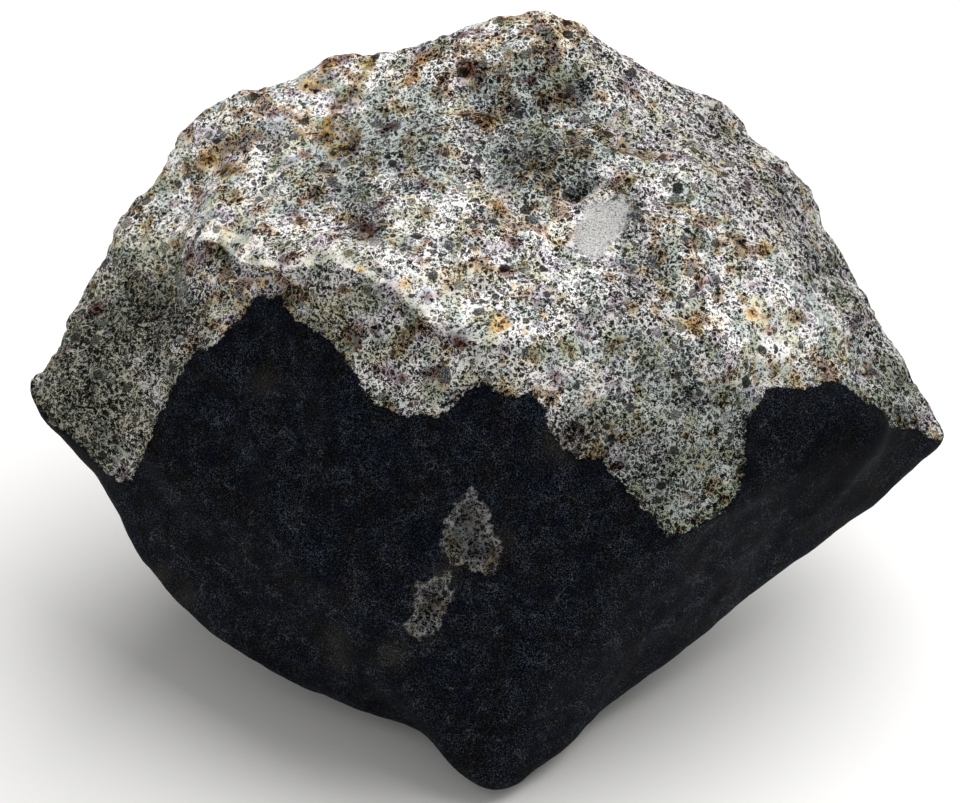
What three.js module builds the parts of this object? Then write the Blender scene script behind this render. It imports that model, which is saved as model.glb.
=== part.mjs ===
// A broken chondrite meteorite: one solid stone, crusted below and freshly broken above.
// Millimetres, +Z up. The origin is on the ground, below the middle of the stone.
import * as THREE from "three";
import { ConvexHull } from "three/addons/math/ConvexHull.js";
import { ImprovedNoise } from "three/addons/math/ImprovedNoise.js";
import { mergeVertices } from "three/addons/utils/BufferGeometryUtils.js";

// The stone is laid out square on to its crusted front: across, up the front, and out of it.
// It then leans back by this angle, in degrees, to stand on its foot.
const leanBack = 36;
const heart = [0, 0.5, -4.5]; // a point well inside, from which every part of the surface can be seen
const footDepth = 20.9; // how far below the middle the flat that it stands on lies

const meshDetail = 20; // gives 8820 triangles, about 1.4 mm a side
const meshStretch = [1.5, 1.1, 1]; // brings more of them to the ends, which lie further out
const roundingPasses = 1; // takes about a third of a millimetre off the sharp edges

// Corners of the stone, each [across, up, out].
const outline = [
  [-33.4, 0.9, -3], // left tip
  [-29.4, 5.4, -6],
  [-25.8, 13.7, -9],
  [-21.6, 20.1, -10],
  [-18.7, 21.4, -10], // left shoulder
  [-11.3, 24.5, -9],
  [-5.5, 25.3, -9],
  [-2.4, 26.8, -8],
  [1.8, 27.6, -7.5], // top, a short level crest
  [5.6, 27.7, -8],
  [8.6, 25, -10],
  [14.2, 22.1, -13],
  [17.9, 21.7, -14], // right shoulder
  [20, 18.2, -13],
  [23.1, 15.7, -11],
  [24.8, 10.7, -10],
  [29, 5.1, -9],
  [30.1, 2.7, -8],
  [33.6, -2.8, -6], // right tip
  [26.6, -8.1, -6],
  [19, -13.8, -5],
  [13.1, -18.5, -4],
  [9.1, -21, -3],
  [5.5, -25, 1],
  [1.4, -28.3, 4],
  [-0.6, -28.4, 4], // lower tip
  [-3.7, -23.5, 2],
  [-8.2, -22.2, -1],
  [-14, -20.1, -2],
  [-19.8, -16.8, -3],
  [-24.3, -11.7, -4],
  [-26.4, -6.9, -4],
  [-29.4, -3.5, -4],
];

const brow = [ // the crest between the broken top and the front, left to right
  [-20.8, 11.6, 3],
  [-16.6, 10.2, 7.5],
  [-13.1, 9.7, 10.5],
  [-7.1, 8.5, 14.5],
  [-2.9, 5.3, 16.5],
  [2.3, 4.3, 17],
  [8.6, 4.3, 15.5],
  [14.9, 3.6, 12],
  [21.2, 2.2, 7],
  [25.4, 1.5, 3],
  [29.6, -1.7, -2],
];

const rightCrest = [ // the crest between the broken top and the right flank
  [10.7, 20.4, -5],
  [14.9, 16.2, 0],
  [19.1, 11.3, 3],
  [21.9, 7.1, 5],
];

const brokenTop = [
  [-2.6, 23.9, -3.6], // lip of the knob under the top crest
  [3, 24.6, -2.9],
  [7.2, 24.2, -4.4],
  [-1.5, 21.2, -2.3], // foot of that lip
  [5, 21.3, -2.6],
  [-4, 17.6, 3],
  [4.1, 17.6, 3],
  [-13.1, 16.2, 0.4],
  [-16.6, 17.6, -3.5],
  [-10, 20.5, -3],
  [5.1, 11.3, 9.5],
  [-6.1, 12.7, 9],
  [13.5, 12, 7],
];

const front = [
  [-28, 0.3, 1.5],
  [-25, -2.7, 2],
  [-22.2, 4.3, 4],
  [-27, 6.5, -2.5],
  [-15.5, 7.1, 9],
  [-15.2, 0, 10.5],
  [-8.9, 3.6, 14],
  [-4, 0, 16],
  [4.1, -0.6, 16.5],
  [-1.2, -4.8, 16.5], // a blunt ridge runs down from here
  [-1.5, -9, 15.5],
  [-4.3, -13.9, 13],
  [-6.8, -18.1, 8],
  [-13.1, -11.1, 10],
  [-18, -8.3, 6.5],
  [-21.5, -6.9, 3.5],
  [7.9, -11.1, 13],
  [3, -19.5, 10],
  [14.9, -8.3, 10],
  [20.5, -3.4, 7.5],
  [26.1, -3.4, 2.5],
];

const back = [
  [0, 18.5, -18.7],
  [0, 11, -25.4],
  [0, 0.8, -26.6],
  [-15, 15.7, -18.2],
  [-26, 4.2, -14.5],
  [-17, -1.3, -22],
  [-21, -7, -12.5],
  [13, 14.7, -20.2],
  [24, 4, -16],
  [16, -0.7, -22.8],
  [21, -5, -13.6],
];

const underside = [
  [-7, -19.7, -9.3], // six corners a little below the foot, which is then trimmed flat
  [7, -20, -8.9],
  [9, -15, -15.8],
  [6.5, -10.8, -21.5],
  [-6.5, -10.8, -21.5],
  [-9, -15, -15.8],
  [-15, -11.6, -12.1], // and four above it, where the underside rises to the sides
  [15, -12, -12.4],
  [0, -22.3, -4.4],
  [0, -4.6, -24.3],
];

// Hollows pressed into the surface, each { at, reach, depth }.
const hollows = [
  { at: [-23.5, 8.4, 0], reach: 4.5, depth: 1.9 }, // under the left end of the brow
  { at: [4.5, 21.6, -2.5], reach: 3.5, depth: 0.9 }, // under the knob at the top
  { at: [8.3, 12.2, 8.8], reach: 2.6, depth: 0.7 }, // where a clast lies bare
  { at: [6.2, 14.6, 7], reach: 1.3, depth: 1.4 }, // the pit beside it
  { at: [-14.5, 0.5, 11], reach: 4, depth: 0.6 },
  { at: [4, -14, 12], reach: 6, depth: 1 },
  { at: [-9, 6, -25], reach: 7, depth: 1.4 },
  { at: [9, 9, -24], reach: 6, depth: 1.2 },
  { at: [19, -1, -18], reach: 5, depth: 1 },
  { at: [-20, -1, -17], reach: 6, depth: 1 },
];

// Lumps, each { size, height }: how wide they are and how far they stand out.
const lumps = [
  { size: 9, height: 0.55 },
  { size: 4.5, height: 0.3 },
  { size: 2.6, height: 0.22 },
];

// Small ledges left by the break, one after another in the direction that they rise.
const ledges = { spacing: 6.5, height: 0.8, rise: [0.5, 0.75, 0.45], wander: 1.1 };

const crustShare = 0.4; // how much of the lumps and ledges the melted crust keeps

const crustHeight = 8; // the crust's upper edge, above the middle of the stone, at its centre
const crustFall = 0.45; // how much lower the edge is for each millimetre to either side

const noise = new ImprovedNoise();
const lean = new THREE.Matrix4().makeRotationX(THREE.MathUtils.degToRad(90 - leanBack));
const standing = (place) => new THREE.Vector3(...place).applyMatrix4(lean);
const middle = standing(heart);
const ledgeRise = standing(ledges.rise).normalize();

// The flat facets that span neighbouring corners, seen from the heart.
function facetsBetween(corners) {
  const cornerAt = new Map(corners.map((corner) => [corner.clone().normalize(), corner]));
  const hull = new ConvexHull().setFromPoints([...cornerAt.keys()]);
  return hull.faces.map((face) => {
    const [a, b, c] = [0, 1, 2].map((i) => cornerAt.get(face.getEdge(i).head().point));
    return {
      corner: a,
      normal: new THREE.Vector3().crossVectors(b.clone().sub(a), c.clone().sub(a)),
      sides: [[a, b], [b, c], [c, a]].map(([p, q]) => new THREE.Vector3().crossVectors(p, q).normalize()),
    };
  });
}

// How far out the surface lies in a direction from the heart.
function reachAlong(direction, facets) {
  const insideBy = (facet) => Math.min(...facet.sides.map((side) => side.dot(direction)));
  const facet = facets.reduce((best, next) => (insideBy(next) > insideBy(best) ? next : best));
  return facet.normal.dot(facet.corner) / facet.normal.dot(direction);
}

// The lists of each point's neighbours in an indexed mesh.
function neighboursOf(geometry) {
  const near = Array.from({ length: geometry.getAttribute("position").count }, () => new Set());
  const index = geometry.index.array;
  for (let i = 0; i < index.length; i += 3) {
    for (const [p, q] of [[0, 1], [1, 2], [2, 0]]) {
      near[index[i + p]].add(index[i + q]);
      near[index[i + q]].add(index[i + p]);
    }
  }
  return near.map((set) => [...set]);
}

// Moves each point half way to the middle of its neighbours.
function roundEdges(points, neighbours) {
  return points.map((point, i) => {
    const around = new THREE.Vector3();
    neighbours[i].forEach((n) => around.add(points[n]));
    return point.clone().lerp(around.divideScalar(neighbours[i].length), 0.5);
  });
}

// How much of the lumps and ledges a place keeps: all of it on the broken top, less on the crust.
function roughShare(place) {
  const edge = crustHeight - crustFall * Math.abs(place.x);
  return THREE.MathUtils.lerp(crustShare, 1, THREE.MathUtils.smoothstep(place.z, edge - 3, edge + 3));
}

// A run of ledges: the surface sinks gently along each tread, then steps back up at its riser.
function ledgeHeight(place) {
  const p = place.clone().divideScalar(ledges.spacing);
  const run = p.dot(ledgeRise) + ledges.wander * noise.noise(p.x * 0.7, p.y * 0.7, p.z * 0.7);
  const along = run - Math.floor(run);
  return ledges.height * (THREE.MathUtils.smoothstep(along, 0.65, 1) - along + 0.4);
}

// How far a place is moved out by its lumps and ledges, and in by the hollows.
function relief(place) {
  const lumpy = lumps.reduce((sum, { size, height }) => {
    const p = place.clone().divideScalar(size);
    return sum + height * 2 * noise.noise(p.x + 7.3, p.y + 2.1, p.z + 4.7);
  }, 0);
  const pressed = hollows.reduce((sum, { at, reach, depth }) => {
    const away = place.distanceTo(standing(at)) / reach;
    return sum + depth * Math.exp(-away * away);
  }, 0);
  return (lumpy + ledgeHeight(place)) * roughShare(place) - pressed;
}

// An even ball whose every point is moved out from the heart to the stone's surface.
function stoneGeometry() {
  const corners = [outline, brow, rightCrest, brokenTop, front, back, underside]
    .flat()
    .map((corner) => standing(corner).sub(middle));
  const facets = facetsBetween(corners);

  const ball = new THREE.IcosahedronGeometry(1, meshDetail);
  ball.deleteAttribute("normal");
  ball.deleteAttribute("uv");
  const geometry = mergeVertices(ball).scale(...meshStretch);
  const positions = geometry.getAttribute("position");
  const neighbours = neighboursOf(geometry);

  let points = Array.from({ length: positions.count }, (_, i) => {
    const direction = new THREE.Vector3().fromBufferAttribute(positions, i).normalize();
    return direction.multiplyScalar(reachAlong(direction, facets));
  });
  for (let pass = 0; pass < roundingPasses; pass += 1) points = roundEdges(points, neighbours);

  points.forEach((point, i) => {
    const place = point.clone().add(middle);
    place.addScaledVector(point.clone().normalize(), relief(place));
    if (place.z < -footDepth) place.lerp(middle, (-footDepth - place.z) / (middle.z - place.z));
    positions.setXYZ(i, place.x, place.y, Math.max(place.z, -footDepth));
  });

  geometry.computeBoundingBox();
  const { min, max } = geometry.boundingBox;
  geometry.translate(-(min.x + max.x) / 2, -(min.y + max.y) / 2, -min.z);
  geometry.computeVertexNormals();
  return geometry;
}

const stoneMaterial = new THREE.MeshStandardMaterial({ color: 0x6f6c66, roughness: 0.9, metalness: 0 });
const meteorite = new THREE.Mesh(stoneGeometry(), stoneMaterial);
meteorite.name = "meteorite";

const group = new THREE.Group();
group.add(meteorite);

export default group;
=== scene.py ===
import math
from functools import partial

import bmesh
import bpy
import numpy as np
from mathutils import Matrix, Vector, noise


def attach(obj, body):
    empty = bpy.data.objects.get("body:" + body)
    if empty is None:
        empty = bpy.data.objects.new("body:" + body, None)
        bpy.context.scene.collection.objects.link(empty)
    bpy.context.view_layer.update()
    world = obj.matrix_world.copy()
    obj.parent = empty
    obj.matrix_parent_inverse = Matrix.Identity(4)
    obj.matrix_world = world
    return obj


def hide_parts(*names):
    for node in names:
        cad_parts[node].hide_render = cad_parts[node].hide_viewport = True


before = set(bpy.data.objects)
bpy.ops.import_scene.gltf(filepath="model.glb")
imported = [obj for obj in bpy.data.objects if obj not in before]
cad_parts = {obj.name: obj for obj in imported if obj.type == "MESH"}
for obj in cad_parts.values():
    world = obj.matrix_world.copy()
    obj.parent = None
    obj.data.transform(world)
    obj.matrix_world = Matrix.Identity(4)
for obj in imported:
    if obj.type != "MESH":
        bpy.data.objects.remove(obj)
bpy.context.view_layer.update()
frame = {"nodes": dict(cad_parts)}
mm = 0.001
print("frame loaded:", ", ".join(frame["nodes"]))


# Places on the front are given in mm across and up from its middle, as the camera sees them.
view = dict(
    middle=(-0.085, -3.463, 20.9),  # mm, the middle of the crusted front
    elevation=36,                   # degrees that the camera looks down, square on to the front
    distance=504,                   # mm from the camera to the middle
    width=67.2,                     # mm across the view at that distance
    aside=-0.49,                    # mm that the camera stands aside of the middle, to its left
    sensor=36,                      # mm
)


def seenPlaces(points):
    # where points in mm stand in the camera's view: across, up, and how far out of the front
    rel = points - np.array(view["middle"])
    s, c = math.sin(math.radians(view["elevation"])), math.cos(math.radians(view["elevation"]))
    out = rel[:, 2] * s - rel[:, 1] * c
    nearer = view["distance"] / (view["distance"] - out)
    return rel[:, 0] * nearer, (rel[:, 1] * s + rel[:, 2] * c) * nearer, out


def towardsCamera():
    angle = math.radians(view["elevation"])
    return np.array((0, -math.cos(angle), math.sin(angle)))


def smooth(low, high, value):
    t = np.clip((value - low) / (high - low), 0, 1)
    return t * t * (3 - 2 * t)


def distanceToPath(places, path):
    # the shortest way from each place to a line through the path's points
    nearest = np.full(len(places), 1e9)
    for start, end in zip(path[:-1], path[1:]):
        side = np.subtract(end, start)
        along = np.clip((places - start) @ side / (side @ side), 0, 1)
        nearest = np.minimum(nearest, np.linalg.norm(places - start - along[:, None] * side, axis=1))
    return nearest


def besideLine(places, path, reach):
    # one just above a line that runs across, fading out over the reach in mm; below it for a negative reach
    xs, ys = np.array(path).T
    away = (places[:, 1] - np.interp(places[:, 0], xs, ys)) * np.sign(reach)
    ends = smooth(xs[0] - 1.5, xs[0] + 2.5, places[:, 0]) * smooth(xs[-1] + 0.5, xs[-1] - 2.0, places[:, 0])
    return smooth(-0.1, 0.25, away) * np.exp(-np.maximum(away, 0) / abs(reach)) * ends


def insideLoop(places, loop):
    inside = np.zeros(len(places), bool)
    for (ax, ay), (bx, by) in zip(loop, loop[1:] + loop[:1]):
        if ay == by:
            continue
        crosses = (places[:, 1] > min(ay, by)) & (places[:, 1] <= max(ay, by))
        inside ^= crosses & (places[:, 0] < ax + (places[:, 1] - ay) * (bx - ax) / (by - ay))
    return inside


def depthInLoop(places, loop):
    # distance to the loop's edge, above zero inside it
    away = distanceToPath(places, loop + loop[:1])
    return np.where(insideLoop(places, loop), away, -away)


def lumpy(points, layers, shift):
    # Perlin lumps, each layer (size, height) in mm; another shift gives other lumps
    total = np.zeros(len(points))
    for size, height in layers:
        total += height * np.array([noise.noise(Vector(p)) for p in points / size + shift])
    return total


def spotField(across, up, spots):
    # soft round spots, each (across, up, radius, strength)
    total = np.zeros(len(across))
    for x, y, radius, strength in spots:
        total += strength * np.exp(-((across - x) ** 2 + (up - y) ** 2) / radius ** 2)
    return total


stone = dict(
    voxel=0.25,                 # mm, side of the remeshed squares
    kept=0.57,                  # share of the triangles kept, most of them on the rough break
    rock=[(5.0, 0.2), (2.4, 0.26), (1.2, 0.22), (0.65, 0.14)],  # size and height of the break's lumps, mm
    crust=[(4.5, 0.10), (1.5, 0.06)],                           # and of the melted crust's
    edgeWander=[(2.2, 0.45), (0.8, 0.40)],                      # how the crust's edge wanders
    frontWander=0.4,            # share of that on the front, where the edge is drawn closely
    crustStep=0.3,              # mm that the crust stands above the rock at its edge
    edgeFade=1.5,               # mm over which that step dies out
    grown=0.07,                 # mm that the whole skin is moved out, for what the smoothing takes off
    chipWander=[(0.9, 0.35)],   # how the chips' edges wander
    chipDepth=0.21,             # mm that the chips are sunk
    clastDepth=0.25,            # mm that the clast lies below the rock's lumps
    clastSmooth=0.85,           # share of those lumps that it lacks
    hollowDepth=0.5,            # mm that the hollow is sunk
    frontEdge=[                 # the crust's upper edge on the front, left tip to right tip
        (-32.2, 1.2), (-31.4, 0.3), (-30.1, -1.2), (-29.0, -2.1), (-27.3, -4.0), (-25.8, -5.5),
        (-25.1, -5.3), (-24.5, -4.5), (-23.9, -3.3), (-23.5, -1.8), (-22.8, -0.2), (-21.9, 1.5),
        (-21.4, 2.3), (-20.7, 3.9), (-19.7, 3.9), (-19.0, 4.2), (-18.1, 5.3), (-17.3, 5.8), (-16.5, 7.3),
        (-15.7, 7.6), (-15.1, 7.4), (-14.4, 7.6), (-13.8, 6.1), (-12.4, 5.4), (-11.6, 4.8), (-10.9, 4.3),
        (-10.0, 3.4), (-9.7, 2.6), (-8.9, 2.0), (-8.1, 0.4), (-7.2, -0.1), (-5.7, -0.8), (-4.7, -0.6),
        (-3.6, -1.1), (-2.7, -0.5), (-1.5, 0.8), (-0.6, 1.3), (0.4, 1.1), (1.1, 0.6), (2.0, 0.3),
        (3.0, 0.7), (3.7, 0.2), (4.3, -0.6), (4.4, -1.3), (4.8, -2.5), (5.5, -3.2), (6.5, -3.8),
        (8.0, -3.8), (8.4, -4.4), (9.3, -5.4), (10.2, -6.5), (10.8, -7.3), (11.9, -7.9), (12.7, -9.2),
        (14.2, -8.7), (15.0, -8.3), (16.0, -7.7), (16.8, -7.0), (17.6, -6.2), (17.9, -3.8), (18.0, -1.3),
        (18.6, -0.3), (19.4, 0.9), (20.4, 1.2), (22.1, 1.1), (24.2, 1.6), (25.4, 1.1), (25.8, 0.6),
        (27.7, -0.6), (28.1, -1.4), (28.8, -1.8), (30.1, -1.8), (31.0, -2.4), (32.4, -2.9),
    ],
    backEdge=[                  # and round the back, each (x, z)
        (-33.5, 20.0), (-29.0, 21.0), (-25.5, 24.5), (-21.0, 24.0), (-17.0, 27.0), (-12.5, 26.5),
        (-9.0, 30.0), (-4.0, 29.0), (0.0, 31.5), (5.0, 30.0), (8.5, 31.0), (12.0, 27.5), (17.0, 27.0),
        (20.5, 23.0), (26.0, 22.5), (29.0, 19.0), (33.0, 17.5),
    ],
    swells=[                    # gentle swellings that fill out the outline: across, up, radius, height
        (-22.9, 17.2, 2.2, 0.7), (-26.2, 10.6, 2.6, 0.4), (-9.0, 24.0, 2.6, 0.5), (11.0, 22.9, 2.0, 0.3),
        (14.4, 21.2, 2.0, 0.2), (19.3, 16.6, 2.2, 0.1), (26.6, 7.4, 1.8, 0.7), (-30.2, -1.4, 1.8, 0.35),
        (-21.6, -14.6, 3.0, 0.25), (12.9, -13.4, 3.0, 0.4), (7.2, -18.4, 2.4, 0.35),
        (28.9, 2.8, 1.2, 0.3), (7.4, 25.6, 1.6, -0.4), (-13.0, 23.4, 1.6, -0.3),
        (31.5, -0.4, 1.6, -0.35), (3.2, -25.4, 1.6, -0.35), (17.4, 18.6, 1.6, -0.2),
        (4.4, 27.0, 1.6, -0.2),
    ],
    chips=[                     # where the crust has flaked off the front
        [(-1.1, -6.4), (-1.7, -6.9), (-2.2, -7.4), (-2.7, -8.4), (-2.9, -9.7), (-3.1, -10.6),
         (-2.5, -11.1), (-1.7, -11.6), (-0.6, -11.8), (0.4, -11.7), (0.8, -11.1), (0.9, -10.4),
         (0.6, -9.6), (0.2, -9.0), (-0.1, -8.0), (-0.4, -7.1)],
        [(-2.8, -12.1), (-3.3, -12.5), (-4.2, -12.8), (-4.9, -12.7), (-4.8, -14.3), (-5.3, -15.2),
         (-5.5, -16.0), (-4.7, -16.4), (-3.9, -16.0), (-3.3, -15.4), (-2.9, -14.3), (-2.7, -13.4)],
    ],
    scuffs=[                    # where it is only worn thin and brown, each (across, up, radius, strength)
        (-15.6, 1.2, 1.0, 0.6), (-6.6, -17.6, 0.9, 0.7), (-10.5, -16.6, 0.9, 0.5),
        (-10.3, -18.2, 0.9, 0.5), (-22.6, -11.9, 0.7, 0.7), (-21.0, -13.6, 0.7, 0.7),
        (4.9, -2.9, 1.0, 0.8), (5.6, -3.4, 0.8, 0.6), (-3.0, -12.0, 0.9, 0.6), (1.2, -9.5, 0.7, 0.5),
    ],
    clast=[                     # a smooth pale clast that lies bare in the break
        (6.0, 11.3), (6.2, 12.1), (6.9, 13.2), (7.7, 13.8), (8.6, 14.1), (9.6, 14.1), (9.9, 13.4),
        (9.7, 12.5), (9.2, 11.6), (8.6, 10.9), (7.9, 10.2), (7.2, 10.0), (6.4, 10.3),
    ],
    pits=[(6.2, 14.5, 0.5, 1.0), (6.9, 14.8, 0.4, 0.4)],       # across, up, radius, depth
    grooves=[                   # cracks and undercuts: path, half width, depth
        ([(5.5, 14.6), (6.2, 15.1), (7.2, 15.0), (8.6, 15.2), (9.9, 14.8), (10.7, 14.4)], 0.35, 0.45),
        ([(-8.5, 9.6), (-7.8, 9.2), (-7.0, 8.7)], 0.14, 0.4),
        ([(29.1, 1.4), (30.0, 1.6), (31.0, 1.8)], 0.22, 0.8),
        ([(-16.7, 2.5), (-15.9, 2.9), (-14.8, 2.7)], 0.25, 0.35),
        ([(9.4, 0.0), (9.5, -0.9)], 0.2, 0.4),
    ],
    ledges=[                    # steps along a line: path, height and how far above the line it fades, mm
        ([(-3.2, 22.3), (-2.6, 22.8), (0.9, 23.7), (4.1, 24.4), (7.2, 24.6), (8.5, 24.4)], 0.5, 2.0),
        ([(5.5, 14.8), (7.0, 15.3), (8.6, 15.4), (10.0, 15.0), (11.0, 14.5)], 0.35, 1.2),
        ([(-21.1, 11.1), (-18.4, 10.4), (-17.1, 9.3), (-16.2, 9.0), (-12.8, 8.9), (-10.6, 9.1), (-8.3, 8.2),
          (-6.3, 7.4), (-4.4, 5.5), (-2.2, 4.2)], 0.6, 2.2),
    ],
    hollow=[                    # a calm grey hollow under the top's ledge
        (-0.6, 23.1), (0.9, 23.7), (3.0, 24.1), (4.6, 24.2), (6.2, 24.0), (7.3, 23.3), (7.5, 21.9),
        (7.1, 20.7), (5.1, 19.9), (3.0, 19.8), (0.9, 19.5), (-0.5, 19.9), (-1.3, 20.8), (-1.2, 22.2),
    ],
    flank=[                     # the streaked right flank
        (7.2, 23.9), (8.7, 21.4), (10.7, 19.0), (12.5, 17.2), (14.2, 15.5), (16.1, 13.6), (18.1, 11.8),
        (20.2, 10.2), (21.9, 8.5), (23.7, 6.4), (25.4, 4.1), (26.7, 2.3), (28.2, 0.4), (31.4, -2.0),
        (60.0, -2.0), (60.0, 40.0), (7.2, 40.0),
    ],
    flankRun=(0.56, -0.83),     # and the way its streaks run, as the camera sees it
    streaks=(0.56, -0.49, -0.67),                               # and in the stone
    flankStretch=0.8,           # how far its lumps are drawn out
    flankShade=0.33,            # the flank is darker by painted shade, and less green and less rusty than the rest
    flankTeal=-0.3,
    flankRust=-0.5,
    hollowShade=0.25,           # and the hollow darker by painted shade, and greener
    hollowTeal=1.0,
    browGlow=(1.15, 0.8),       # painted highlight above the brow's edge, with a cream colour: strength, and reach in mm
    browShade=(0.4, 2.4),       # and the painted shade below it
    branchGlow=(0.9, 0.35),     # the brow's branch, painted highlight too, the same two
    edgeRust=(0.15, 0.8),       # rust that gathers in the rock along the crust's edge
    # painted shade in the rock along the crust's edge, where it dips below the crust's step
    edgeShade=(0.4, 0.3),
)

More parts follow.
